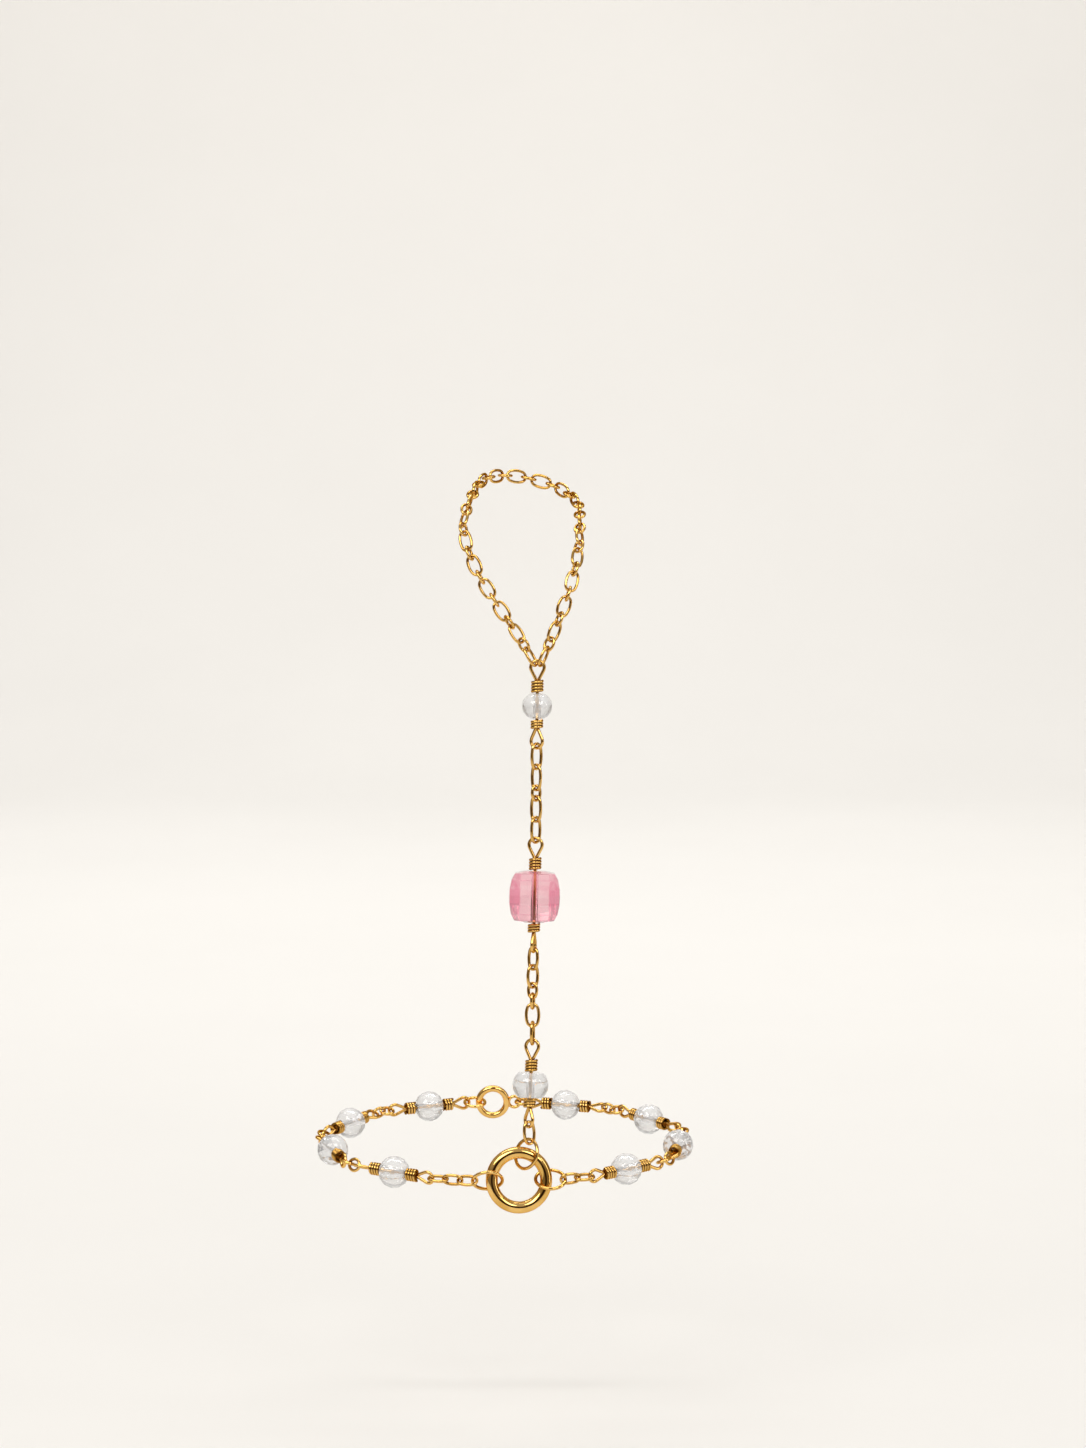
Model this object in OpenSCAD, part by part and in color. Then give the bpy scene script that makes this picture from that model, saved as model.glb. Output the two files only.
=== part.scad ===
// Hand chain bracelet. A wrist bracelet of wired beads and links meets in a plain front ring, and a drop
// of beads and links runs up the hand from that ring to a loop of chain round the middle finger.
// Lengths are in millimetres. X runs across the wrist, -Y faces the front and Z points up to the fingers.

/* [Front ring] */
// Outer diameter of the plain front ring
ring_od = 11.6; // [11:0.1:13]
// Thickness of the front ring's round bar
ring_bar = 2.1; // [1.6:0.1:2.3]
// Degrees by which the top of the front ring lies back
ring_lean = 15; // [5:1:25]
// Place of the front ring on the bracelet, in degrees to the right of its middle
ring_place = 5; // [-5:1:10]

/* [Jump rings] */
// Outer diameter of the three jump rings on the front ring
jump_od = 5.8; // [5.6:0.1:6.4]
// Wire of the jump rings
jump_wire = 0.6; // [0.5:0.05:0.7]
// Free space inside the front ring between its bar and a side jump ring
side_slack = 0.5; // [0.2:0.1:0.9]
// Free space inside the front ring between its bar and the top jump ring
top_slack = 1.3; // [0.9:0.1:1.5]
// Place of the top jump ring on the front ring, in degrees to the right of its top
top_place = 17; // [0:1:25]
// Degrees by which the side jump rings turn from square to the bar
side_turn = 36; // [10:1:40]
// Degrees by which the top jump ring turns from square to the bar
top_turn = 41; // [10:1:42]

/* [Chain] */
// Clear gap between two wires that hook into each other
play = 0.22; // [0.2:0.01:0.26]
// End radius of an oval link, as a share of half its width
link_round = 0.88; // [0.84:0.01:0.92]
// Wire of the links in the drop
drop_wire = 0.55; // [0.45:0.05:0.6]
// Length of a long link in the drop
long_link_l = 5; // [4.4:0.05:5.4]
// Width of a long link in the drop
long_link_w = 2.85; // [2.6:0.05:3.2]
// Length of a large link in the drop
large_link_l = 4.45; // [4:0.05:5]
// Width of a large link in the drop
large_link_w = 2.8; // [2.6:0.05:3.2]
// Length of a small link in the drop
small_link_l = 3.15; // [2.9:0.05:3.6]
// Width of a small link in the drop
small_link_w = 2.25; // [2.15:0.05:2.6]
// Wire of the links round the finger
finger_wire = 0.5; // [0.45:0.05:0.55]
// Length of a large link round the finger
finger_link_l = 4.15; // [3.8:0.05:4.6]
// Width of a large link round the finger
finger_link_w = 2.65; // [2.4:0.05:2.9]
// Length of a small link round the finger
finger_tie_l = 3; // [2.8:0.05:3.3]
// Width of a small link round the finger
finger_tie_w = 2.3; // [2.2:0.05:2.5]
// Number of large links round the finger
finger_links = 23; // [20:1:26]
// Wire of the links in the bracelet
wrist_wire = 0.55; // [0.5:0.05:0.6]
// Length of a link beside the front ring
wrist_link_l = 3.95; // [3.6:0.05:4.4]
// Width of a link beside the front ring
wrist_link_w = 2.5; // [2.3:0.05:2.9]
// Length of a link between two beads
wrist_tie_l = 3.1; // [3.05:0.05:3.4]
// Width of a link between two beads
wrist_tie_w = 2.7; // [2.65:0.05:2.8]

/* [Bead wires] */
// Wire that runs through each bead
bead_wire = 0.58; // [0.5:0.02:0.64]
// Outer diameter of the wraps beside a bead of the drop
drop_wrap_od = 2.05; // [1.8:0.05:2.3]
// Outer diameter of the wraps beside a bead of the bracelet
wrist_wrap_od = 2.3; // [1.8:0.05:2.4]
// Length of an eye in the drop, from the wraps to its tip
drop_eye_l = 3.6; // [3.3:0.05:4]
// Outer width of an eye in the drop
drop_eye_w = 2.95; // [2.8:0.05:3.2]
// Length of an eye in the bracelet, from the wraps to its tip
wrist_eye_l = 3.3; // [3.1:0.05:3.8]
// Outer width of an eye in the bracelet
wrist_eye_w = 2.7; // [2.5:0.05:3]
// Wraps above a bead of the drop
upper_wraps = 4; // [3:1:5]
// Wraps below a bead of the drop
lower_wraps = 3; // [3:1:5]
// Wraps on each side of a bead in the bracelet
wrist_wraps = 4; // [3:1:5]
// Gap between a bead and the wraps beside it
bead_gap = 0.1; // [0.1:0.01:0.2]

/* [Beads] */
// Width of the pink bead
pink_w = 9; // [7:0.1:11]
// Height of the pink bead
pink_l = 9; // [7:0.1:11]
// Hole through the pink bead
pink_hole = 1.2; // [0.9:0.05:1.6]
// Diameter of the cut clear bead at the top of the drop
upper_bead_d = 5.4; // [4.5:0.1:6.5]
// Height of the cut clear bead at the top of the drop
upper_bead_l = 4.4; // [3.5:0.1:5.5]
// Diameter of the smooth clear bead at the foot of the drop
lower_bead_d = 6.3; // [5.5:0.1:7.5]
// Height of the smooth clear bead at the foot of the drop
lower_bead_l = 4.3; // [3.5:0.1:5]
// Diameter of a cut clear bead in the bracelet
wrist_bead_d = 5.7; // [5:0.1:6.5]
// Length of a cut clear bead in the bracelet
wrist_bead_l = 4.9; // [4:0.1:5.8]
// Hole through the clear beads
bead_hole = 1; // [0.85:0.05:1.3]

/* [Bracelet] */
// Depth of the worn bracelet, front to back, for each millimetre of its width
wrist_depth = 0.74; // [0.7:0.02:1]
// Degrees by which the back of the bracelet lies higher than its front
wrist_rise = 5; // [0:1:8]
// Degrees by which the right side of the bracelet lies higher than its left
wrist_sway = 0; // [0:1:3]
// Outer diameter of the clasp's ring
clasp_od = 6.4; // [6:0.1:7.5]
// Thickness of the clasp's round bar
clasp_bar = 1.2; // [1:0.1:1.4]
// Outer diameter of the ring that the clasp closes on
clasp_ring_od = 4.4; // [4.2:0.1:5.4]

/* [Hidden] */
// The drop's chosen points, from the middle of the front ring
drop_route = [
    [1.7, 1.8, 11], [2.3, 3.2, 22], [2.4, 4.6, 35], [2.8, 6, 50], [3, 7.2, 67], [3.2, 8.2, 86]];
// The finger loop's chosen points, from the tip of the drop's top eye, and the way its links face there,
// in degrees from the front
finger_route = [
    [-3.4, 0.6, 4.4, 0], [-7.2, 1.3, 10, -5], [-10.8, 2.5, 16, -12], [-13, 5.2, 22.8, -35],
    [-11.6, 11.5, 28.2, -85], [-9.4, 19.5, 31.2, -120], [-4, 25.4, 31.6, -165], [3, 24.9, 29.8, -205],
    [7, 18.8, 27, -250], [7.4, 11, 23.8, -290], [7.1, 4.9, 18.6, -325], [5.5, 1.8, 12, -350],
    [3, 0.7, 5.2, -360]];
gold = [0.85, 0.62, 0.26];
clear = [0.9, 0.93, 0.94, 0.7];
pink = [0.95, 0.62, 0.68];
$fn = 48;
wrist_beads = 8;
// Sides of a cut clear bead
bead_sides = 8;
// Rolls of the two small links between beads, and of the eye that follows them
tie_rolls = [68, -20];
step_roll = 66;

long_link = [long_link_l, long_link_w, drop_wire];
large_link = [large_link_l, large_link_w, drop_wire];
small_link = [small_link_l, small_link_w, drop_wire];
finger_link = [finger_link_l, finger_link_w, finger_wire];
finger_tie = [finger_tie_l, finger_tie_w, finger_wire];
wrist_link = [wrist_link_l, wrist_link_w, wrist_wire];
wrist_tie = [wrist_tie_l, wrist_tie_w, wrist_wire];

ring_r = (ring_od - ring_bar) / 2;
jump_r = (jump_od - jump_wire) / 2;
side_rho = ring_r - ring_bar / 2 - side_slack - jump_wire / 2 + jump_r;
top_rho = ring_r - ring_bar / 2 - top_slack - jump_wire / 2 + jump_r;
eye_r = (drop_eye_w - bead_wire) / 2;
clasp_r = (clasp_od - clasp_bar) / 2;
// Small eye on the clasp's ring, sunk a third of its wire into the bar
clasp_eye_wire = jump_wire;
clasp_eye_r = 1.75 * clasp_eye_wire;
clasp_eye_x = clasp_r + clasp_bar / 2 + clasp_eye_r - clasp_eye_wire / 3;
clasp_ring_r = (clasp_ring_od - jump_wire) / 2;

function unit(v) = v / norm(v);

// An item holds its reach to each end wire's centre, its wire, the roll of each end, its part and its size
function near(item) = item[0];
function far(item) = item[1];
function wire_of(item) = item[2];
function near_roll(item) = item[3];
function far_roll(item) = item[4];
function part_of(item) = item[5];
function size_of(item) = item[6];
// A seat holds its centre, the direction of the chain, and the way it faces
function centre_of(seat) = seat[0];
function along_of(seat) = seat[1];
function face_of(seat) = seat[2];

// Items: a link, and a bead's wire, whose eyes and wraps are given as eye length, eye width and wrap diameter
function link_item(size, roll, part = 0) =
    let (reach = (size[0] - size[2]) / 2)
    [reach, reach, size[2], roll, roll, part, size];
function wire_item(bead_l, near_wraps, far_wraps, eye, near_roll, far_roll, part = 0) =
    let (stub = bead_l / 2 + bead_gap + eye[0] - bead_wire / 2)
    [stub + near_wraps * bead_wire, stub + far_wraps * bead_wire, bead_wire, near_roll, far_roll, part,
        [bead_l, near_wraps, far_wraps, eye]];

// Distance between the centres of two end wires that hook into each other
function hook(a, b) = (wire_of(a) + wire_of(b)) / 2 + play;
// Chords of the inner items of a list, each from the middle of one hook to the middle of the next
function chords(items) = [for (i = [1:len(items) - 2])
    near(items[i]) + far(items[i]) - (hook(items[i - 1], items[i]) + hook(items[i], items[i + 1])) / 2];

// A smooth curve through points, run on straight past the last of them, where t counts the points
function spline(p, t) =
    let (n = len(p) - 1, i = max(0, min(floor(t), n - 1)), u = t - i,
        a = p[max(i - 1, 0)], b = p[i], c = p[i + 1], d = p[min(i + 2, n)])
    t > n ? c + (t - n) * (c - b) / 2
    : b + u * (c - a) / 2 + u * u * (2 * a - 5 * b + 4 * c - d) / 2
        + u * u * u * (3 * b - a - 3 * c + d) / 2;
// Value of t one chord further along a curve
function step_on(curve, t, chord, guess, n = 6) =
    n == 0 ? guess
    : step_on(curve, t, chord, t + (guess - t) * chord / norm(curve(guess) - curve(t)), n - 1);
// Values of t at the hooks of a chain that starts at t
function march(curve, t, chord, dt, i = 0) =
    i == len(chord) ? [t]
    : concat([t], march(curve, step_on(curve, t, chord[i], t + dt), chord, dt, i + 1));
// Scale at which a family of curves is just as long from t0 to t1 as the chain
function fit_scale(family, t0, t1, chord, s, n = 9) =
    let (count = len(chord), curve = family(s), t = march(curve, t0, chord, (t1 - t0) / count)[count],
        miss = sign(t - t1) * norm(curve(t) - curve(t1)))
    n == 0 ? s : fit_scale(family, t0, t1, chord, s * (1 + miss / (chord * [for (c = chord) 1])), n - 1);
// Seats of a list's inner items, for the points of their hooks and the way each of them faces
function seats(items, points, faces) = [for (i = [1:len(items) - 2])
    let (along = unit(points[i] - points[i - 1]), face = faces[i - 1])
    [points[i - 1] + along * (near(items[i]) - hook(items[i - 1], items[i]) / 2), along,
        unit(face - along * (face * along))]];

// The bracelet runs from the front ring's left side to its right and on round the back
front_item = [side_rho + jump_r, side_rho + jump_r, jump_wire, 0, 0, 0, []];
clasp_item = [clasp_eye_x + clasp_eye_r, clasp_r - clasp_bar / 2 + clasp_eye_wire / 2, clasp_eye_wire,
    0, 0, 0, []];
clasp_ring_item = [clasp_ring_r, clasp_ring_r, jump_wire, 80, 80, 0, []];
wrist_eye = [wrist_eye_l, wrist_eye_w, wrist_wrap_od];
function wrist_wire_item(near_roll, far_roll, part) =
    wire_item(wrist_bead_l, wrist_wraps, wrist_wraps, wrist_eye, near_roll, far_roll, part);
// Two small links and the bead that follows them
function wrist_step(k, far_roll) = [
    link_item(wrist_tie, tie_rolls[0], k), link_item(wrist_tie, tie_rolls[1], k),
    wrist_wire_item(step_roll, far_roll, k)];
wrist_items = concat(
    [front_item, link_item(wrist_link, 18, 1), link_item(wrist_link, 102, 1), wrist_wire_item(0, -10, 1)],
    [for (k = [2:wrist_beads / 2]) each wrist_step(k, -10)],
    [link_item(wrist_tie, 80, wrist_beads / 2 + 1), clasp_item, clasp_ring_item,
        wrist_wire_item(0, -10, wrist_beads / 2 + 1)],
    [for (k = [wrist_beads / 2 + 2:wrist_beads]) each wrist_step(k, k == wrist_beads ? 10 : -10)],
    [link_item(wrist_link, 100, wrist_beads + 1), link_item(wrist_link, 20, wrist_beads + 1),
        link_item(wrist_link, 125, wrist_beads + 1)]);
wrist_count = len(wrist_items);
wrist_cycle = concat([wrist_items[wrist_count - 1]], wrist_items, [front_item]);
wrist_chords = chords(wrist_cycle);
wrist_length = wrist_chords * [for (c = wrist_chords) 1];
// Axes of the tilted bracelet
wrist_x = [cos(wrist_sway), 0, sin(wrist_sway)];
wrist_y = [-sin(wrist_sway) * sin(wrist_rise), cos(wrist_rise), cos(wrist_sway) * sin(wrist_rise)];
wrist_z = cross(wrist_x, wrist_y);
wrist_oval = function (s) function (t) s * (sin(t) * wrist_x - wrist_depth * cos(t) * wrist_y);
wrist_guess = wrist_length / PI / (1 + wrist_depth);
wrist_start = ring_place - wrist_chords[0] / 2 / wrist_guess * 180 / PI;
wrist_half = fit_scale(wrist_oval, wrist_start, wrist_start + 360, wrist_chords, wrist_guess);
wrist_ts = march(wrist_oval(wrist_half), wrist_start, wrist_chords, 360 / wrist_count);
wrist_points = [for (t = wrist_ts) wrist_oval(wrist_half)(t)];
wrist_seats = seats(wrist_cycle, wrist_points,
    [for (i = [0:wrist_count - 1]) cross(wrist_points[i + 1] - wrist_points[i], wrist_z)]);

// The front ring's seat leans back, and the drop starts at its top jump ring
front_seat = wrist_seats[0];
front_up = cross(face_of(front_seat), along_of(front_seat));
ring_face = cos(ring_lean) * face_of(front_seat) + sin(ring_lean) * front_up;
ring_up = cross(ring_face, along_of(front_seat));
top_out = sin(top_place) * along_of(front_seat) + cos(top_place) * ring_up;
top_item = [top_rho + jump_r, 0, jump_wire, 0, 0, 0, 0];

// The drop, from its lowest link to its top eye
drop_eye = [drop_eye_l, drop_eye_w, drop_wrap_od];
drop_items = concat(
    [link_item(large_link, 40, "lower")],
    [wire_item(lower_bead_l, lower_wraps, upper_wraps, drop_eye, -57, -20, "lower")],
    [link_item(large_link, 80, "middle"), link_item(large_link, 0, "middle"),
        link_item(small_link, 76, "middle"), link_item(small_link, -30, "middle"),
        link_item(large_link, 40, "middle"), link_item(large_link, -48, "middle")],
    [wire_item(pink_l, lower_wraps, upper_wraps, drop_eye, 76, -15, "middle")],
    [link_item(long_link, 50, "upper"), link_item(long_link, -45, "upper"), link_item(small_link, 35, "upper"),
        link_item(long_link, -50, "upper"), link_item(long_link, 45, "upper")],
    [wire_item(upper_bead_l, lower_wraps, upper_wraps, drop_eye, -34, 0, "upper")]);
drop_count = len(drop_items);
drop_line = concat([top_item], drop_items, [link_item(finger_link, 0)]);
drop_points = concat(
    [centre_of(front_seat) + top_out * (top_rho + jump_r - hook(top_item, drop_items[0]) / 2)],
    [for (p = drop_route) centre_of(front_seat) + p]);
drop_curve = function (t) spline(drop_points, t);
drop_hooks = [for (t = march(drop_curve, 0, chords(drop_line), 0.3)) drop_curve(t)];
drop_seats = seats(drop_line, drop_hooks, [for (i = [1:drop_count]) [0, -1, 0]]);

// The finger loop starts and ends on the two sides of the drop's top eye
fork = 40;
top_seat = drop_seats[drop_count - 1];
eye_tip = centre_of(top_seat) + along_of(top_seat) * far(drop_items[drop_count - 1]);
eye_side = cross(face_of(top_seat), along_of(top_seat));
// Rolls of the first links from each end, then face-on and edge-on by turns
end_rolls = [65, 145, 35, 115, 10];
function finger_roll(i, n) =
    let (from_end = min(i, n + 1 - i), side = i < n / 2 ? 1 : -1)
    from_end <= len(end_rolls) ? side * end_rolls[from_end - 1] : (i % 2 == 1 ? 0 : 90) + 3 * sin(137 * i);
finger_count = 2 * finger_links - 1;
finger_items = [for (i = [1:finger_count])
    link_item(i % 2 == 1 ? finger_link : finger_tie, finger_roll(i, finger_count))];
finger_line = concat([drop_items[drop_count - 1]], finger_items, [drop_items[drop_count - 1]]);
finger_chords = chords(finger_line);
function fork_point(side) =
    let (reach = eye_r - hook(drop_items[drop_count - 1], finger_items[0]) / 2)
    eye_tip - along_of(top_seat) * eye_r
        + reach * (cos(fork) * along_of(top_seat) + side * sin(fork) * eye_side);
function finger_points(s) = concat(
    [concat(fork_point(1), 0)],
    [for (p = finger_route) [eye_tip.x + s * p[0], eye_tip.y + s * p[1], eye_tip.z + s * p[2], p[3]]],
    [concat(fork_point(-1), -360)]);
function place_of(p) = [p[0], p[1], p[2]];
finger_end = len(finger_route) + 1;
finger_family = function (s) let (p = finger_points(s)) function (t) place_of(spline(p, t));
finger_scale = fit_scale(finger_family, 0, finger_end, finger_chords, 1);
finger_ts = march(finger_family(finger_scale), 0, finger_chords, finger_end / finger_count);
finger_hooks = [for (t = finger_ts) finger_family(finger_scale)(t)];
finger_seats = seats(finger_line, finger_hooks, [for (i = [1:finger_count])
    let (a = spline(finger_points(finger_scale), (finger_ts[i - 1] + finger_ts[i]) / 2)[3])
    [sin(a), -cos(a), 0]]);

function numbered(name, n) = [for (k = [1:n]) str(name, "_", k)];

// Puts what is drawn along X and facing Z onto a seat
module on(seat) {
    x = along_of(seat);
    z = face_of(seat);
    y = cross(z, x);
    p = centre_of(seat);
    multmatrix([[x.x, y.x, z.x, p.x], [x.y, y.y, z.y, p.y], [x.z, y.z, z.z, p.z]]) children();
}

// Oval link of four arcs in the XY plane, its length along X, swept with a six-sided wire
module oval_link(size) {
    wire_sides = 6;
    a = (size[0] - size[2]) / 2;
    b = (size[1] - size[2]) / 2;
    end_r = link_round * b;
    side_r = (a * a - 2 * a * end_r + b * b) / (2 * (b - end_r));
    turn = atan2(side_r - b, a - end_r);
    // Half of the centre line as angles, then each point with its outward direction
    half = concat([for (k = [0:4]) turn * (k / 2 - 1)], [for (k = [1:2]) turn + k * (180 - 2 * turn) / 3]);
    angles = concat(half, [for (q = half) q + 180]);
    function arc_point(q) =
        let (c = cos(q), s = sin(q))
        abs(c) > cos(turn) - 0.0001 ? [sign(c) * (a - end_r) + end_r * c, end_r * s]
        : [side_r * c, side_r * s - sign(s) * (side_r - b)];
    points = [for (q = angles) for (k = [0:wire_sides - 1])
        let (p = arc_point(q), w = 360 * k / wire_sides, r = size[2] / 2)
        [p.x + r * cos(w) * cos(q), p.y + r * cos(w) * sin(q), r * sin(w)]];
    n = len(angles);
    m = wire_sides;
    faces = [for (i = [0:n - 1]) for (k = [0:m - 1])
        let (i2 = (i + 1) % n, k2 = (k + 1) % m)
        each [[i * m + k, i * m + k2, i2 * m + k2], [i * m + k, i2 * m + k2, i2 * m + k]]];
    polyhedron(points, faces, convexity = 4);
}

// Round ring of round wire in the XY plane
module wire_ring(r, wire) {
    rotate_extrude() translate([r, 0]) circle(d = wire);
}

// Eye of a bead's wire: a round tip and two straight legs that run into the wraps at x
module eye(x, size) {
    // The legs start this deep in the wraps, and the tip and legs meet in balls a little wider than the wire
    sink = 0.86 * bead_wire;
    ball_d = 1.08 * bead_wire;
    joint = 0.035 * bead_wire;
    r = (size[1] - bead_wire) / 2;
    tip_x = x + size[0] - bead_wire / 2 - r;
    slope = asin(r / (tip_x - x + sink));
    leg = sqrt(pow(tip_x - x + sink, 2) - r * r);
    shy = joint / r * 180 / PI;
    translate([tip_x, 0, 0]) rotate([0, 0, shy - 90 - slope])
        rotate_extrude(angle = 180 + 2 * slope - 2 * shy) translate([r, 0]) circle(d = bead_wire);
    for (side = [-1, 1]) {
        translate([x - sink, 0, 0]) rotate([0, 90, side * slope]) cylinder(d = bead_wire, h = leg - joint);
        translate([tip_x - r * sin(slope), side * r * cos(slope), 0]) sphere(d = ball_d);
    }
}

// Wraps of wire round the shank, from x outwards
module wraps(x, turns, outer) {
    core_r = (outer - bead_wire) / 2;
    translate([x, 0, 0]) rotate([0, 90, 0]) rotate_extrude() {
        square([core_r, turns * bead_wire]);
        for (k = [0:turns - 1]) translate([core_r, (k + 0.5) * bead_wire]) circle(d = bead_wire);
    }
}

// Wire through a bead, with wraps and an eye at each end
module bead_wire_piece(item) {
    size = size_of(item);
    start = size[0] / 2 + bead_gap;
    rotate([0, 90, 0]) cylinder(d = bead_wire, h = 2 * (start + bead_wire), center = true);
    for (end = [[0, size[1], near_roll(item), 180], [1, size[2], far_roll(item), 0]])
        rotate([end[2], 0, 0]) rotate([0, 0, end[3]]) {
            wraps(start, end[1], size[3][2]);
            eye(start + end[1] * bead_wire, size[3]);
        }
}

// Cut bead along X: a flat table at each end and rings of facets between them, with a drilled hole
module cut_bead(d, l) {
    // Columns: place and radius as shares of half the length and half the diameter, and turn in facets
    rings = [[-1, 0.5, 0], [-0.6, 0.86, 0.5], [-0.08, 1, 0], [0.08, 1, 0], [0.6, 0.86, 0.5], [1, 0.5, 0]];
    skin = l / 500;
    difference() {
        hull()
            for (row = rings)
                translate([row[0] * (l - skin) / 2, 0, 0]) rotate([row[2] * 360 / bead_sides, 0, 0])
                    rotate([0, 90, 0]) cylinder(r = row[1] * d / 2, h = skin, center = true, $fn = bead_sides);
        bead_bore(l, bead_hole);
    }
}

// The drilled hole of a bead of length l
module bead_bore(l, hole) {
    rotate([0, 90, 0]) cylinder(d = hole, h = 2 * l, center = true);
}

// Pillow-shaped square bead along X, its corners cut and its faces raised, with a drilled hole
module pillow_bead(w, l, hole) {
    // Columns: place, half width and cut of the corners, as shares of half the length and half the width
    rows = [[-1, 0.36, 0.2], [-0.86, 0.8, 0.3], [-0.45, 0.96, 0.24], [0, 1, 0.34], [0.45, 0.96, 0.24],
        [0.86, 0.8, 0.3], [1, 0.36, 0.2]];
    skin = l / 500;
    difference() {
        hull()
            for (row = rows)
                translate([row[0] * (l - skin) / 2, 0, 0]) rotate([0, 90, 0])
                    linear_extrude(skin, center = true)
                        let (a = row[1] * w / 2, b = a - row[2] * w / 2)
                            polygon([[a, -b], [a, b], [b, a], [-b, a], [-a, b], [-a, -b], [-b, -a], [b, -a]]);
        bead_bore(l, hole);
    }
}

// Smooth rondelle along X with flat ends, with a drilled hole
module smooth_bead(d, l, hole) {
    // Radius of the rounded side
    bulge = 0.46 * d;
    difference() {
        rotate([0, 90, 0]) rotate_extrude() intersection() {
            translate([d / 2 - bulge, 0]) circle(r = bulge);
            translate([0, -l / 2]) square([d, l]);
        }
        bead_bore(l, hole);
    }
}

module front_ring() {
    color(gold) on([centre_of(front_seat), along_of(front_seat), ring_face]) wire_ring(ring_r, ring_bar);
}

// A jump ring on the front ring, at an angle from its right side
module jump_ring(angle, rho, turn) {
    color(gold) on([centre_of(front_seat), along_of(front_seat), ring_face])
        rotate([0, 0, angle]) translate([rho, 0, 0]) rotate([90 - turn, 0, 0]) wire_ring(jump_r, jump_wire);
}

// The oval links of a list that belong to one part
module links(items, chain_seats, part) {
    color(gold)
        for (i = [0:len(items) - 1])
            if (len(size_of(items[i])) == 3 && part_of(items[i]) == part)
                on(chain_seats[i]) rotate([near_roll(items[i]), 0, 0]) oval_link(size_of(items[i]));
}

// The wire of the bead that a list holds in one part
module part_wire(items, chain_seats, part) {
    color(gold)
        for (i = [0:len(items) - 1])
            if (len(size_of(items[i])) == 4 && part_of(items[i]) == part)
                on(chain_seats[i]) bead_wire_piece(items[i]);
}

// What is drawn at the seat of the bead that a list holds in one part
module at_bead(items, chain_seats, part) {
    for (i = [0:len(items) - 1])
        if (len(size_of(items[i])) == 4 && part_of(items[i]) == part) on(chain_seats[i]) children();
}

module wrist_bead(k) {
    color(clear) at_bead(wrist_items, wrist_seats, k) rotate([180 / bead_sides, 0, 0])
        cut_bead(wrist_bead_d, wrist_bead_l);
}

// Seat of the clasp, the only item before its ring
clasp_index = search([clasp_item], wrist_items)[0];

module clasp() {
    color(gold) on(wrist_seats[clasp_index]) {
        wire_ring(clasp_r, clasp_bar);
        translate([-clasp_eye_x, 0, 0]) wire_ring(clasp_eye_r, clasp_eye_wire);
    }
}

module clasp_ring() {
    color(gold) on(wrist_seats[clasp_index + 1]) rotate([near_roll(clasp_ring_item), 0, 0])
        wire_ring(clasp_ring_r, jump_wire);
}

front_ring();
jump_ring(180, side_rho, -side_turn);  // jump_ring_left
jump_ring(0, side_rho, -side_turn);  // jump_ring_right
jump_ring(90 - top_place, top_rho, -top_turn);  // jump_ring_top
color(clear) at_bead(drop_items, drop_seats, "lower") smooth_bead(lower_bead_d, lower_bead_l, bead_hole);  // drop_bead_lower
color(pink) at_bead(drop_items, drop_seats, "middle") pillow_bead(pink_w, pink_l, pink_hole);  // drop_bead_pink
color(clear) at_bead(drop_items, drop_seats, "upper") cut_bead(upper_bead_d, upper_bead_l);  // drop_bead_upper
part_wire(drop_items, drop_seats, "lower");  // drop_wire_lower
part_wire(drop_items, drop_seats, "middle");  // drop_wire_pink
part_wire(drop_items, drop_seats, "upper");  // drop_wire_upper
links(drop_items, drop_seats, "lower");  // drop_chain_lower
links(drop_items, drop_seats, "middle");  // drop_chain_middle
links(drop_items, drop_seats, "upper");  // drop_chain_upper
links(finger_items, finger_seats, 0);  // finger_chain
clasp();
clasp_ring();
for (k = [1:wrist_beads]) {
    wrist_bead(k);
    part_wire(wrist_items, wrist_seats, k);
}
for (k = [1:wrist_beads + 1])
    links(wrist_items, wrist_seats, k);
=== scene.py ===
"""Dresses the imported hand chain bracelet: polished gold rings, links and wrapped wires, and glass beads.

Pieces are modelled in millimetres at the origin. Each copy is brought to metres when it is put on its seat.
"""
import logging
import math
from collections.abc import Iterable
from dataclasses import dataclass, field
from enum import Enum
from typing import Protocol

import bpy
import numpy as np
from mathutils import Matrix, Vector


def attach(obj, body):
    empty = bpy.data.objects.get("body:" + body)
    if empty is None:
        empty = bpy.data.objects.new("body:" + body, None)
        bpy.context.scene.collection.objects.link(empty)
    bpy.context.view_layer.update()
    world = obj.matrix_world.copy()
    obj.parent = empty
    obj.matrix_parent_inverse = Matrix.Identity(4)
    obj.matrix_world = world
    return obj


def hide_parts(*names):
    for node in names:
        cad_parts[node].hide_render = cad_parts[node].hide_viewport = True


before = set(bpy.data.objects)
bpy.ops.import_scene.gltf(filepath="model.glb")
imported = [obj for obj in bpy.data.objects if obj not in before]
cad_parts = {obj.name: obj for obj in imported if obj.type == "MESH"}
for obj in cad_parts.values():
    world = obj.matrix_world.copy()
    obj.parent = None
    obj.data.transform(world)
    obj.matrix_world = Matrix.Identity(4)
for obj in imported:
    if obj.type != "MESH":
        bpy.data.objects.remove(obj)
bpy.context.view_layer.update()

MM = 0.001
BODY = "root"
TAU = 2 * math.pi
X_AXIS, Z_AXIS = Vector((1, 0, 0)), Vector((0, 0, 1))
VIEWER = Vector((0, -1, 0))
# Vertices closer than this, in millimetres, count as one for a cut, and are merged
WELD, MERGE = 1e-5, 1e-4
# Wire and paper are shaded round where their faces meet at less than this angle
ROUND = math.radians(50)
# The face attribute that the finishes read: painted shade, in the gold's grooves and the insides of bends,
# and on the glass's cut edges, corners and alternate facets
PAINTED_SHADE = "depth"
# The sockets of a colour mix
MIX_SHARE, MIX_FIRST, MIX_SECOND, MIX_RESULT = 0, 6, 7, 2
LOG = logging.getLogger("hand_chain")

Colour = tuple[float, float, float]
Range = tuple[float, float]


class Slot(Enum):
    """The record's material slots."""

    GOLD = "gold"
    CLEAR = "clear_glass"
    PINK = "pink_glass"


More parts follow.
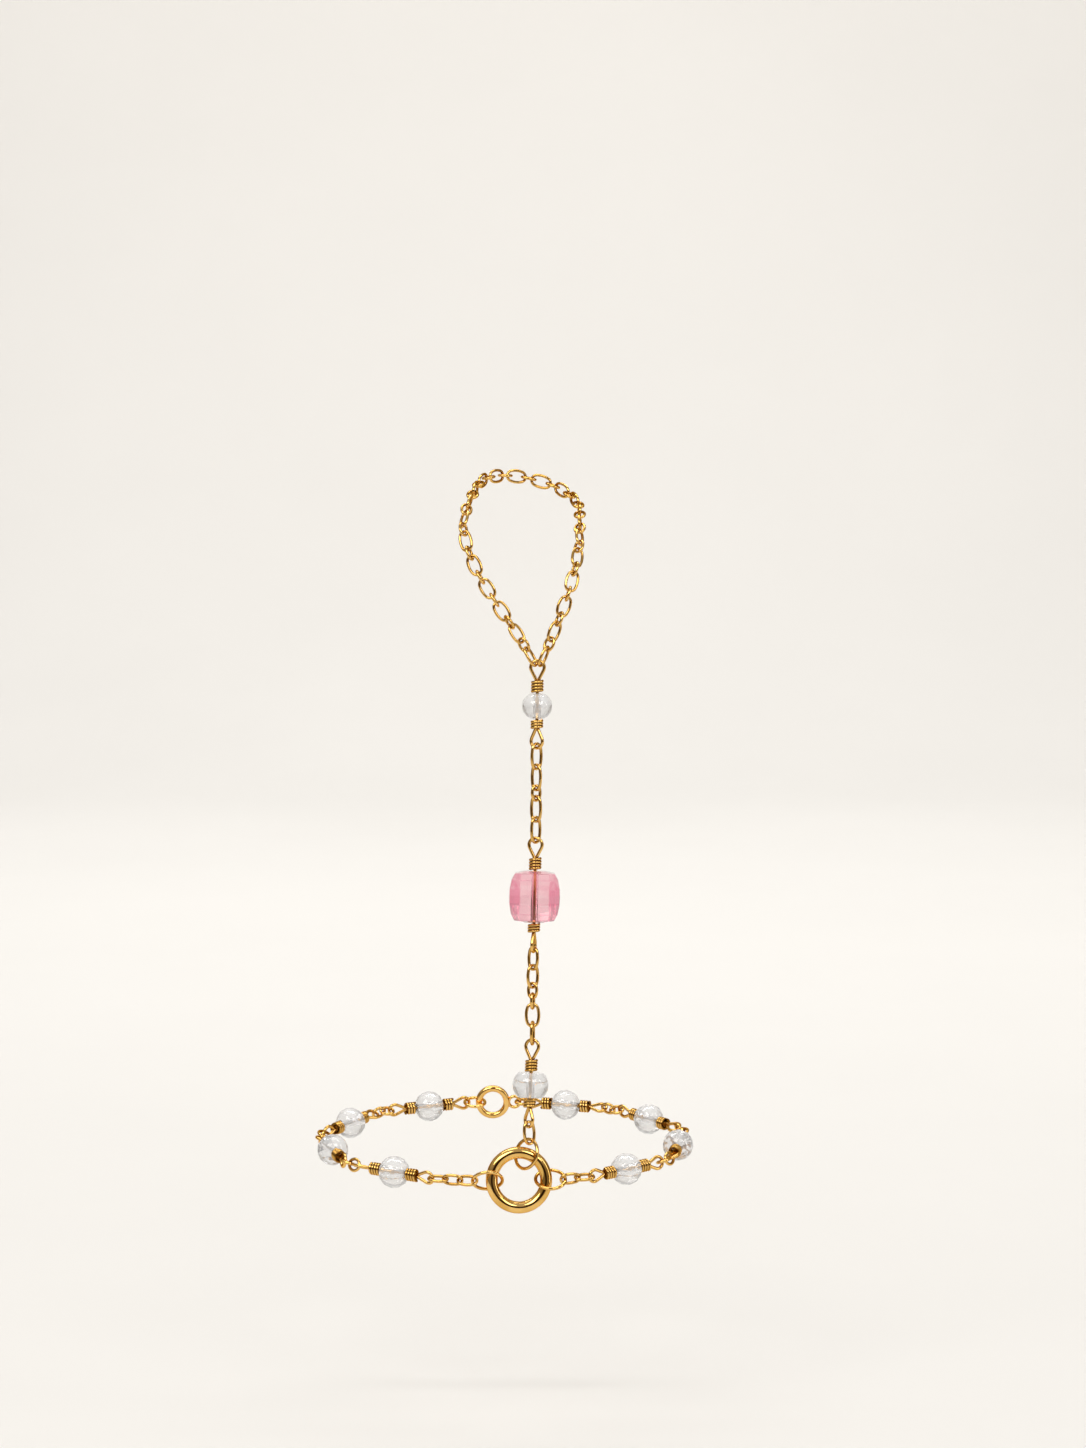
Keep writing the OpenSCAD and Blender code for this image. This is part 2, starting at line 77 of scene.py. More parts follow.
class Cap(Enum):
    """What happens at the two ends of a drawn wire."""

    CLOSED_LOOP = "closed loop"
    CUT_ENDS = "cut ends"


class Shape(Protocol):
    """A shape that is modelled at the origin, in millimetres."""

    def build(self) -> bpy.types.Object:
        """Models the shape."""


class BeadShape(Shape, Protocol):
    """A bead that lies along X."""

    length: float


# Finishes


class Nodes:
    """Shorthand for building one material's or world's nodes."""

    # How rough each noise is, and where its middle values start and end
    noise_roughness: float = 0.55
    noise_middle: Range = (0.3, 0.7)

    def __init__(self, tree: bpy.types.NodeTree) -> None:
        """Starts from an empty tree."""
        tree.nodes.clear()
        self.tree = tree

    def add(self, kind: str, **values: object) -> bpy.types.Node:
        """Adds a node.

        Args:
            kind: the node's type.
            values: settings, where a name that matches an input sets its value.

        Returns:
            The node.
        """
        node = self.tree.nodes.new(kind)
        for name, value in values.items():
            label = name.replace("_", " ")
            if label in node.inputs:
                node.inputs[label].default_value = value
            else:
                setattr(node, name, value)
        return node

    def link(self, out: bpy.types.NodeSocket, into: bpy.types.NodeSocket) -> None:
        """Joins two sockets."""
        self.tree.links.new(out, into)

    def noise(self, where: bpy.types.NodeSocket, scale: float, detail: float = 3.0) -> bpy.types.NodeSocket:
        """Adds a noise.

        Args:
            where: the coordinates.
            scale: how many cells there are in a metre.
            detail: how many finer layers it has.

        Returns:
            Its value.
        """
        node = self.add("ShaderNodeTexNoise", Scale=scale, Detail=detail, Roughness=self.noise_roughness)
        self.link(where, node.inputs["Vector"])
        return node.outputs["Fac"]

    def spread(self, value: bpy.types.NodeSocket, low: float, high: float) -> bpy.types.NodeSocket:
        """Maps the middle of a noise to a range.

        Args:
            value: the noise.
            low: the value at its dark end.
            high: the value at its light end.

        Returns:
            The mapped value.
        """
        start, end = self.noise_middle
        node = self.add("ShaderNodeMapRange", From_Min=start, From_Max=end, To_Min=low, To_Max=high)
        self.link(value, node.inputs["Value"])
        return node.outputs["Result"]

    def blend(self, value: bpy.types.NodeSocket, stops: Iterable[tuple[float, Colour]]
              ) -> bpy.types.NodeSocket:
        """Maps a value to a colour.

        Args:
            value: what chooses the colour.
            stops: places and colours.

        Returns:
            The colour.
        """
        stops = list(stops)
        node = self.add("ShaderNodeValToRGB")
        ramp = node.color_ramp
        while len(ramp.elements) < len(stops):
            ramp.elements.new(0.5)
        for stop, (place, colour) in zip(ramp.elements, stops):
            stop.position = place
            stop.color = (*colour, 1.0)
        self.link(value, node.inputs["Fac"])
        return node.outputs["Color"]

    def mix(self, share: bpy.types.NodeSocket, first: bpy.types.NodeSocket, second: Colour
            ) -> bpy.types.NodeSocket:
        """Mixes a colour with a constant one.

        Args:
            share: how much of the constant colour there is.
            first: the colour where the share is nought.
            second: the constant colour.

        Returns:
            The mixed colour.
        """
        node = self.add("ShaderNodeMix", data_type="RGBA")
        self.link(share, node.inputs[MIX_SHARE])
        self.link(first, node.inputs[MIX_FIRST])
        node.inputs[MIX_SECOND].default_value = (*second, 1.0)
        return node.outputs[MIX_RESULT]

    def maths(self, operation: str, first: bpy.types.NodeSocket, second: bpy.types.NodeSocket | float = 0.0
              ) -> bpy.types.NodeSocket:
        """Works out one sum.

        Args:
            operation: what is done.
            first: the first value.
            second: the second value, as a socket or a number.

        Returns:
            The result.
        """
        node = self.add("ShaderNodeMath", operation=operation)
        self.link(first, node.inputs[0])
        if isinstance(second, float):
            node.inputs[1].default_value = second
        else:
            self.link(second, node.inputs[1])
        return node.outputs["Value"]

    def bumps(self, where: bpy.types.NodeSocket, scale: float, detail: float, strength: float, height: float
              ) -> bpy.types.NodeSocket:
        """Adds fine unevenness from a noise.

        Args:
            where: the coordinates.
            scale: how many cells of the noise there are in a metre.
            detail: how many finer layers it has.
            strength: how much of it shows.
            height: how high it stands, in metres.

        Returns:
            The uneven normal.
        """
        node = self.add("ShaderNodeBump", Strength=strength, Distance=height)
        self.link(self.noise(where, scale, detail), node.inputs["Height"])
        return node.outputs["Normal"]


def start_material(name: str) -> tuple[bpy.types.Material, Nodes, bpy.types.NodeSocket]:
    """Starts a material.

    Args:
        name: its name.

    Returns:
        The material, its nodes and its object coordinates.
    """
    made = bpy.data.materials.new(name)
    made.use_nodes = True
    nodes = Nodes(made.node_tree)
    return made, nodes, nodes.add("ShaderNodeTexCoord").outputs["Object"]


def end_material(nodes: Nodes, shader: bpy.types.Node) -> None:
    """Gives a material its surface."""
    out = nodes.add("ShaderNodeOutputMaterial")
    nodes.link(shader.outputs["BSDF"], out.inputs["Surface"])


@dataclass(frozen=True)
class GoldFinish:
    """Polished gold plating with faint tone changes, fine wear, and painted shade in grooves and on the
    insides of bends.
    """

    pale: Colour = (0.88, 0.555, 0.18)
    deep: Colour = (0.70, 0.41, 0.10)
    rim: Colour = (0.62, 0.34, 0.12)
    # The painted shade's colour, which grooves and the insides of bends are darkened towards
    painted_shade_colour: Colour = (0.22, 0.10, 0.015)
    shine: Range = (0.045, 0.085)
    index: float = 1.45
    # Where the tone's noise turns from deep to pale
    turn: Range = (0.32, 0.62)
    # The scales of the noises, in cells to a metre, and how many finer layers they have
    tone_scale: float = 260.0
    wear_scale: float = 2200.0
    wear_detail: float = 4.0
    grain_scale: float = 9000.0
    grain_detail: float = 2.0
    # How much of the grain shows, and its height in millimetres
    grain_strength: float = 0.015
    grain_height: float = 0.02

    def material(self) -> bpy.types.Material:
        """Builds the material.

        Returns:
            The material.
        """
        made, n, where = start_material("polished_gold")
        shader = n.add(
            "ShaderNodeBsdfPrincipled", Metallic=1.0, IOR=self.index, Specular_Tint=(*self.rim, 1.0))
        polish = n.blend(n.noise(where, self.tone_scale), zip(self.turn, (self.deep, self.pale)))
        # Painted shade: faces that the attribute marks, in grooves and inside bends, darken towards the
        # shade colour
        depth = n.add("ShaderNodeAttribute", attribute_name=PAINTED_SHADE).outputs["Fac"]
        n.link(n.mix(depth, polish, self.painted_shade_colour), shader.inputs["Base Color"])
        wear = n.noise(where, self.wear_scale, self.wear_detail)
        n.link(n.spread(wear, *self.shine), shader.inputs["Roughness"])
        grain = n.bumps(
            where, self.grain_scale, self.grain_detail, self.grain_strength, self.grain_height * MM)
        n.link(grain, shader.inputs["Normal"])
        end_material(n, shader)
        return made


@dataclass(frozen=True)
class GlassFinish:
    """Cut or smooth glass with a faint cloud in it, and a deeper tint where shade is painted on its faces.
    """

    name: str
    pale: Colour
    deep: Colour
    # The tint of faces that have shade painted on them
    edge: Colour
    clearness: float
    shine: Range = (0.0, 0.03)
    index: float = 1.5
    coat: float = 0.3
    coat_roughness: float = 0.02
    # Where the cloud's noise turns from deep to pale
    turn: Range = (0.35, 0.65)
    # The scales of the noises, in cells to a metre
    cloud_scale: float = 420.0
    wear_scale: float = 1500.0
    wave_scale: float = 700.0
    # How many finer layers the waves have, how much of them shows, and their height in millimetres
    wave_detail: float = 1.0
    wave_strength: float = 0.04
    wave_height: float = 0.03

    def material(self) -> bpy.types.Material:
        """Builds the material.

        Returns:
            The material.
        """
        made, n, where = start_material(self.name)
        shader = n.add(
            "ShaderNodeBsdfPrincipled", Transmission_Weight=self.clearness, IOR=self.index,
            Coat_Weight=self.coat, Coat_Roughness=self.coat_roughness)
        cloud = n.blend(n.noise(where, self.cloud_scale), zip(self.turn, (self.deep, self.pale)))
        # Painted shade: faces that the attribute marks take the deeper tint
        depth = n.add("ShaderNodeAttribute", attribute_name=PAINTED_SHADE).outputs["Fac"]
        n.link(n.mix(depth, cloud, self.edge), shader.inputs["Base Color"])
        n.link(n.spread(n.noise(where, self.wear_scale), *self.shine), shader.inputs["Roughness"])
        waves = n.bumps(where, self.wave_scale, self.wave_detail, self.wave_strength, self.wave_height * MM)
        n.link(waves, shader.inputs["Normal"])
        end_material(n, shader)
        return made


CLEAR_GLASS = GlassFinish(
    "clear_glass", pale=(0.99, 0.99, 0.995), deep=(0.93, 0.94, 0.96), edge=(0.85, 0.87, 0.90),
    clearness=0.74)
# Its edge tint is painted shade on the pillow bead's edges, corners and alternate facets
PINK_GLASS = GlassFinish(
    "pink_glass", pale=(0.99, 0.72, 0.765), deep=(0.97, 0.61, 0.675), edge=(0.82, 0.19, 0.32),
    clearness=0.98)


@dataclass(frozen=True)
class FloorFinish:
    """Plain pale studio paper."""

    pale: Colour = (0.775, 0.762, 0.738)
    deep: Colour = (0.76, 0.747, 0.723)
    roughness: float = 0.75
    # Where the noise turns from deep to pale, and its scale in cells to a metre
    turn: Range = (0.3, 0.7)
    scale: float = 6.0

    def material(self) -> bpy.types.Material:
        """Builds the material.

        Returns:
            The material.
        """
        made, n, where = start_material("pale_paper")
        shader = n.add("ShaderNodeBsdfPrincipled", Roughness=self.roughness)
        tone = n.blend(n.noise(where, self.scale), zip(self.turn, (self.deep, self.pale)))
        n.link(tone, shader.inputs["Base Color"])
        end_material(n, shader)
        return made


# Bench work


class Bench:
    """The few steps that every piece is made with."""

    @staticmethod
    def clear() -> None:
        """Leaves edit mode and deselects everything."""
        if bpy.context.object and bpy.context.object.mode != "OBJECT":
            bpy.ops.object.mode_set(mode="OBJECT")
        bpy.ops.object.select_all(action="DESELECT")

    @staticmethod
    def take(*pieces: bpy.types.Object) -> None:
        """Selects only these pieces and makes the first one active.

        Args:
            pieces: what is selected.
        """
        Bench.clear()
        for piece in pieces:
            piece.select_set(True)
        bpy.context.view_layer.objects.active = pieces[0]

    @staticmethod
    def edit() -> None:
        """Goes into edit mode with everything selected."""
        bpy.ops.object.mode_set(mode="EDIT")
        bpy.ops.mesh.select_all(action="SELECT")

    @staticmethod
    def settle(name: str) -> bpy.types.Object:
        """Ends the work on the active piece: closed, facing outwards, and with its place in its mesh.

        Args:
            name: the piece's name.

        Returns:
            The piece.
        """
        piece = bpy.context.object
        bpy.ops.object.mode_set(mode="OBJECT")
        Bench.take(piece)
        Bench.edit()
        bpy.ops.mesh.normals_make_consistent(inside=False)
        bpy.ops.object.mode_set(mode="OBJECT")
        bpy.ops.object.transform_apply(location=True, rotation=True, scale=True)
        piece.name = name
        return piece

    @staticmethod
    def apply(piece: bpy.types.Object, kind: str, **values: object) -> None:
        """Adds one modifier to a piece and applies it.

        Args:
            piece: what it goes on.
            kind: the modifier's type.
            values: its settings.
        """
        Bench.take(piece)
        bpy.ops.object.modifier_add(type=kind)
        modifier = piece.modifiers[-1]
        for key, value in values.items():
            setattr(modifier, key, value)
        bpy.ops.object.modifier_apply(modifier=modifier.name)

    @staticmethod
    def paint_inner_shade(piece: bpy.types.Object, middle: float, most: float) -> None:
        """Paints shade on bent wire where it faces its own middle and less light comes, as a mark for its
        finish to read.

        Args:
            piece: the wire, bent in the XY plane.
            middle: where its middle lies on X.
            most: the painted shade on wire that faces straight to the middle.
        """
        depth = piece.data.attributes.new(PAINTED_SHADE, "FLOAT", "FACE")
        for value, face in zip(depth.data, piece.data.polygons):
            inward = Vector((middle - face.center.x, -face.center.y, 0)).normalized()
            value.value = most * (1 + face.normal.dot(inward)) / 2

    @staticmethod
    def join(pieces: list[bpy.types.Object], name: str) -> bpy.types.Object:
        """Makes one object of several.

        Args:
            pieces: what is joined.
            name: the new object's name.

        Returns:
            The object.
        """
        Bench.take(*pieces)
        if len(pieces) > 1:
            bpy.ops.object.join()
        bpy.context.object.name = name
        return bpy.context.object

    @staticmethod
    def copy(master: bpy.types.Object, where: Matrix) -> bpy.types.Object:
        """Copies a master with a mesh of its own and puts the copy at its place, in metres.

        Args:
            master: what is copied.
            where: its place, as a matrix in metres.

        Returns:
            The copy.
        """
        master.hide_set(False)
        Bench.take(master)
        bpy.ops.object.duplicate(linked=False)
        made = bpy.context.object
        made.matrix_world = where @ Matrix.Scale(MM, 4)
        bpy.ops.object.transform_apply(location=True, rotation=True, scale=True)
        master.hide_set(True)
        return made


class WirePen:
    """Draws round wire in edit mode: a ring of its section is pushed along lines and spun round arcs."""

    def __init__(self, wire: float, start: Vector, heading: Vector, sides: int = 14) -> None:
        """Lays down the first ring.

        Args:
            wire: the wire's diameter.
            start: where the wire starts.
            heading: the way it runs there.
            sides: how many sides the wire has.
        """
        Bench.clear()
        turn = Z_AXIS.rotation_difference(heading).to_euler()
        bpy.ops.mesh.primitive_circle_add(
            vertices=sides, radius=wire / 2, fill_type="NOTHING", location=start, rotation=turn)
        Bench.edit()

    def line(self, step: Vector) -> "WirePen":
        """Pushes the wire on by a step."""
        bpy.ops.mesh.extrude_region_move(TRANSFORM_OT_translate={"value": step})
        return self

    def arc(self, centre: Vector, degrees: float, steps: int) -> "WirePen":
        """Bends the wire round a centre, anticlockwise about Z."""
        bpy.ops.mesh.spin(steps=steps, angle=-math.radians(degrees), center=centre, axis=Z_AXIS)
        return self

    def finish(self, name: str, cap: Cap) -> bpy.types.Object:
        """Closes the loop or the two ends, and shades the wire smooth.

        Args:
            name: the piece's name.
            cap: how the wire ends.

        Returns:
            The piece.
        """
        bpy.ops.mesh.select_all(action="SELECT")
        if cap is Cap.CLOSED_LOOP:
            bpy.ops.mesh.remove_doubles(threshold=MERGE)
        else:
            bpy.ops.mesh.fill_holes(sides=0)
        piece = Bench.settle(name)
        bpy.ops.object.shade_smooth_by_angle(angle=ROUND)
        return piece


# Seats


@dataclass
class Seat:
    """Where a piece sits: its centre, the way it runs, and the way it faces."""

    centre: Vector
    along: Vector
    face: Vector

    def matrix(self) -> Matrix:
        """The seat as a matrix, in metres.

        Returns:
            The matrix, with X along the run and Z to the front.
        """
        x = self.along.normalized()
        z = (self.face - x * self.face.dot(x)).normalized()
        y = z.cross(x)
        base = Matrix((x, y, z)).transposed().to_4x4()
        return Matrix.Translation(self.centre) @ base


class Solid:
    """One loose solid of a CAD node, as triangles, with its moments."""

    # Corners of the CAD mesh this close, in millimetres, are the same
    weld = 1e-4

    def __init__(self, triangles: np.ndarray) -> None:
        """Works out the area's centre and main axes.

        Args:
            triangles: the three corners of each triangle, in metres.
        """
        self.triangles = triangles
        a, b, c = triangles[:, 0], triangles[:, 1], triangles[:, 2]
        area = np.linalg.norm(np.cross(b - a, c - a), axis=1)
        total = triangles.sum(axis=1)
        self.centre = (area[:, None] * total / 3).sum(axis=0) / area.sum()
        moved = triangles - self.centre
        centred = moved.sum(axis=1)
        spread = np.einsum("t,tki,tkj->ij", area, moved, moved)
        spread += np.einsum("t,ti,tj->ij", area, centred, centred)
        self.axes = np.linalg.eigh(spread / area.sum())[1].T[::-1]

    def extent(self, axis: np.ndarray) -> tuple[float, float]:
        """Lowest and highest place along an axis, from the centre, in millimetres."""
        place = (self.triangles.reshape(-1, 3) - self.centre) @ axis / MM
        return float(place.min()), float(place.max())

    def size(self, axis: np.ndarray) -> float:
        """How far the solid reaches along an axis, in millimetres."""
        low, high = self.extent(axis)
        return high - low

    def beyond(self, axis: Vector, least: float, origin: Vector) -> "Solid":
        """The part of the solid past a place on an axis, measured from an origin in millimetres."""
        place = (self.triangles.mean(axis=1) - np.array(origin)) @ np.array(axis) / MM
        return Solid(self.triangles[place > least])

    @staticmethod
    def of(node: str) -> list["Solid"]:
        """The loose solids of a CAD node.

        Args:
            node: the node's name.

        Returns:
            One solid for each loose part.
        """
        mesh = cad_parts[node].data
        place = np.empty(len(mesh.vertices) * 3)
        mesh.vertices.foreach_get("co", place)
        place = place.reshape(-1, 3)
        corners = np.array([face.vertices[:] for face in mesh.polygons])
        steps = np.round(place / (MM * Solid.weld)).astype(np.int64)
        welded = np.unique(steps, axis=0, return_inverse=True)[1]
        joined = welded.reshape(-1)[corners]
        label = np.arange(joined.max() + 1)
        while True:
            lowest = label[joined].min(axis=1)
            renewed = label.copy()
            np.minimum.at(renewed, joined.ravel(), np.repeat(lowest, 3))
            if (renewed == label).all():
                break
            label = renewed
        owner = label[joined[:, 0]]
        return [Solid(place[corners[owner == one]]) for one in np.unique(owner)]


# Gold pieces


@dataclass(frozen=True)
class OvalLink:
    """An oval link bent from round wire in four arcs, its length along X."""

    length: float
    width: float
    wire: float
    # The end arcs' radius as a share of half the width of the wire's middle line
    end_share: float = 0.88
    end_steps: int = 10
    side_steps: int = 6
    # How much shade is painted on its inside
    inner_shade: float = 0.52

    def build(self) -> bpy.types.Object:
        """Draws the link and closes it.

        Returns:
            The master, in millimetres at the origin.
        """
        a, b = (self.length - self.wire) / 2, (self.width - self.wire) / 2
        end = self.end_share * b
        side = (a * a - 2 * a * end + b * b) / (2 * (b - end))
        turn = math.atan2(side - b, a - end)
        right = Vector((a - end, 0, 0))
        above = Vector((0, side - b, 0))
        start = right + Vector((end * math.cos(turn), -end * math.sin(turn), 0))
        pen = WirePen(self.wire, start, Vector((math.sin(turn), math.cos(turn), 0)))
        tight, slow = math.degrees(2 * turn), 180 - math.degrees(2 * turn)
        pen.arc(right, tight, self.end_steps).arc(-above, slow, self.side_steps)
        pen.arc(-right, tight, self.end_steps).arc(above, slow, self.side_steps)
        piece = pen.finish("link_master", Cap.CLOSED_LOOP)
        Bench.paint_inner_shade(piece, 0.0, self.inner_shade)
        return piece


@dataclass(frozen=True)
class PlainRing:
    """A round ring of round bar in the XY plane, whole or with a hairline joint at +X."""

    outer: float
    bar: float
    joint: float = 0.0
    sides: int = 18
    steps: int = 64
    # How much shade is painted on its inside
    inner_shade: float = 0.0

    def build(self) -> bpy.types.Object:
        """Spins the bar round into a ring.

        Returns:
            The master, in millimetres at the origin.
        """
        middle = (self.outer - self.bar) / 2
        gap = math.degrees(self.joint / middle)
        half = math.radians(gap / 2)
        start = Vector((middle * math.cos(half), middle * math.sin(half), 0))
        pen = WirePen(self.bar, start, Vector((-math.sin(half), math.cos(half), 0)), self.sides)
        pen.arc(Vector(), 360 - gap, self.steps)
        piece = pen.finish("ring_master", Cap.CUT_ENDS if self.joint else Cap.CLOSED_LOOP)
        Bench.paint_inner_shade(piece, 0.0, self.inner_shade)
        return piece


@dataclass(frozen=True)
class Wraps:
    """Close wraps round the shank, wound out along X from a bead, with their ends at the two sides."""

    start: float
    turns: int
    outer: float
    pitch: float
    wire: float = 0.52
    steps: int = 20
    sides: int = 12
    # The core's radius as a share of the wraps' middle line, how many turns it is shorter than the wraps,
    # how many turns it starts later, and its broken edge
    core_share: float = 0.62
    core_short: float = 0.7
    core_late: float = 0.2
    core_edge: float = 0.12
    # How deep, in wires, the painted shade in a groove starts, and how much deeper it is darkest
    groove_start: float = 0.04
    groove_depth: float = 0.22

    def coil(self) -> bpy.types.Object:
        """Winds the wraps as one helix from the bead outwards.

        Returns:
            The helix.
        """
        wound = self.turns - 0.5
        rise = (self.turns * self.pitch - self.wire) / wound
        steps = round(self.steps * wound)
        Bench.clear()
        bpy.ops.mesh.primitive_circle_add(
            vertices=self.sides, radius=self.wire / 2, fill_type="NOTHING",
            location=(self.start + self.wire / 2, (self.outer - self.wire) / 2, 0))
        bpy.ops.object.transform_apply(location=True, rotation=True, scale=True)
        Bench.apply(
            bpy.context.object, "SCREW", axis="X", angle=TAU * wound, screw_offset=wound * rise,
            steps=steps, render_steps=steps)
        Bench.edit()
        bpy.ops.mesh.fill_holes(sides=0)
        piece = Bench.settle("coil")
        bpy.ops.object.shade_smooth_by_angle(angle=ROUND)
        return piece

    def core(self) -> bpy.types.Object:
        """Adds the tight inner turns that close the wraps from the inside, as a plug with rounded rims.

        Returns:
            The plug.
        """
        long = (self.turns - self.core_short) * self.pitch
        middle = self.start + self.core_late * self.pitch + long / 2
        Bench.clear()
        bpy.ops.mesh.primitive_cylinder_add(
            vertices=self.steps, radius=(self.outer - self.wire) / 2 * self.core_share, depth=long,
            location=(middle, 0, 0), rotation=(0, math.pi / 2, 0))
        Bench.apply(bpy.context.object, "BEVEL", width=self.core_edge, segments=3, limit_method="ANGLE")
        piece = Bench.settle("core")
        bpy.ops.object.shade_smooth_by_angle(angle=ROUND)
        return piece

    def build(self) -> bpy.types.Object:
        """Joins the wraps and their core, and paints shade into the grooves, where less light comes.

        Returns:
            The master, in millimetres at the origin.
        """
        piece = Bench.join([self.coil(), self.core()], "wraps_master")
        depth = piece.data.attributes.new(PAINTED_SHADE, "FLOAT", "FACE")
        for value, face in zip(depth.data, piece.data.polygons):
            # Sunk faces get painted shade, more the deeper they lie
            sunk = (self.outer / 2 - math.hypot(face.center.y, face.center.z)) / self.wire
            value.value = min(1.0, max(0.0, (sunk - self.groove_start) / self.groove_depth))
        return piece


@dataclass(frozen=True)
class Eye:
    """An eye in the XY plane that runs out along X from its wraps."""

    neck: float
    length: float
    width: float
    wire: float
    # How far its legs go into the wraps, and how much shade is painted on its inside
    sink: float = 0.5
    inner_shade: float = 0.4
    steps: int = 28

    def build(self) -> bpy.types.Object:
        """Bends the eye: a leg out of the wraps, a round tip, and a leg back.

        Returns:
            The master, in millimetres at the origin.
        """
        radius = (self.width - self.wire) / 2
        tip = self.neck + self.length - self.wire / 2 - radius
        run = tip - self.neck + self.sink
        slope = math.asin(radius / run)
        leg = math.sqrt(run * run - radius * radius)
        out = Vector((math.cos(slope), -math.sin(slope), 0))
        back = Vector((-math.cos(slope), -math.sin(slope), 0))
        pen = WirePen(self.wire, Vector((self.neck - self.sink, 0, 0)), out)
        pen.line(out * leg)
        pen.arc(Vector((tip, 0, 0)), 180 + math.degrees(2 * slope), self.steps)
        pen.line(back * leg)
        piece = pen.finish("eye_master", Cap.CUT_ENDS)
        Bench.paint_inner_shade(piece, tip, self.inner_shade)
        return piece


@dataclass(frozen=True)
class Shank:
    """The straight wire through a bead, along X."""

    length: float
    wire: float = 0.58

    def build(self) -> bpy.types.Object:
        """Draws the shank.

        Returns:
            The master, in millimetres at the origin.
        """
        pen = WirePen(self.wire, Vector((-self.length / 2, 0, 0)), X_AXIS)
        pen.line(Vector((self.length, 0, 0)))
        return pen.finish("shank_master", Cap.CUT_ENDS)


# Glass pieces


def drill(piece: bpy.types.Object, hole: float, reach: float) -> None:
    """Drills a bead along X.

    Args:
        piece: the bead.
        hole: the hole's diameter.
        reach: the drill's length.
    """
    Bench.clear()
    bpy.ops.mesh.primitive_cylinder_add(
        vertices=40, radius=hole / 2, depth=reach, rotation=(0, math.pi / 2, 0))
    drill_bit = bpy.context.object
    bpy.ops.object.transform_apply(location=True, rotation=True, scale=True)
    Bench.apply(piece, "BOOLEAN", operation="DIFFERENCE", object=drill_bit, solver="EXACT")
    bpy.data.objects.remove(drill_bit)


def break_edges(piece: bpy.types.Object, width: float, angle: float) -> None:
    """Breaks a bead's edges to a width, where its faces meet at more than an angle in degrees."""
    Bench.apply(
        piece, "BEVEL", width=width, segments=2, limit_method="ANGLE", angle_limit=math.radians(angle))


def facet_hull(rings: list[tuple[float, list[tuple[float, float]]]], name: str) -> bpy.types.Object:
    """Cuts a stone: the hull of points that lie in rings across X.

    Args:
        rings: for each ring, its place on X and its points' Y and Z.
        name: the piece's name.

    Returns:
        The stone.
    """
    Bench.clear()
    bpy.ops.mesh.primitive_plane_add(size=0.01)
    piece = bpy.context.object
    Bench.edit()
    bpy.ops.mesh.delete(type="VERT")
    for x, points in rings:
        bpy.ops.mesh.primitive_circle_add(
            vertices=len(points), radius=1.0, fill_type="NOTHING", location=(x, 0, 0))
    bpy.ops.object.mode_set(mode="OBJECT")
    spots = [Vector((x, y, z)) for x, points in rings for y, z in points]
    for vertex, point in zip(piece.data.vertices, spots):
        vertex.co = piece.matrix_world.inverted() @ point
    Bench.edit()
    flat, any_shape = math.radians(1), math.radians(179)
    bpy.ops.mesh.convex_hull(join_triangles=True, face_threshold=flat, shape_threshold=any_shape)
    bpy.ops.mesh.select_all(action="SELECT")
    bpy.ops.mesh.dissolve_limited(angle_limit=flat)
    return Bench.settle(name)


@dataclass(frozen=True)
class CutBead:
    """A round cut bead along X, with rows of facets that step by half a facet from row to row."""

    across: float
    length: float
    hole: float = 1.0
    sides: int = 10
    # The width of the broken edges, and the least angles between faces that are broken and that stay sharp
    soft: float = 0.16
    broken: float = 13.0
    smooth: float = 20.0
    # Columns: place and radius as shares of half the length and half the width, and turn in facets
    rows: tuple = ((-1, 0.44, 0), (-0.82, 0.7, 0.5), (-0.42, 0.94, 0), (0, 1.0, 0.5), (0.42, 0.94, 0),
                   (0.82, 0.7, 0.5), (1, 0.44, 0))

    def build(self) -> bpy.types.Object:
        """Cuts the facets, drills the hole and breaks the edges.

        Returns:
            The master, in millimetres at the origin.
        """
        rings = []
        for place, radius, turn in self.rows:
            angles = [TAU * (k + turn) / self.sides for k in range(self.sides)]
            reach = radius * self.across / 2
            points = [(reach * math.cos(angle), reach * math.sin(angle)) for angle in angles]
            rings.append((place * self.length / 2, points))
        piece = facet_hull(rings, "cut_bead_master")
        drill(piece, self.hole, 2 * self.length)
        break_edges(piece, self.soft, self.broken)
        bpy.ops.object.shade_smooth_by_angle(angle=math.radians(self.smooth))
        return piece


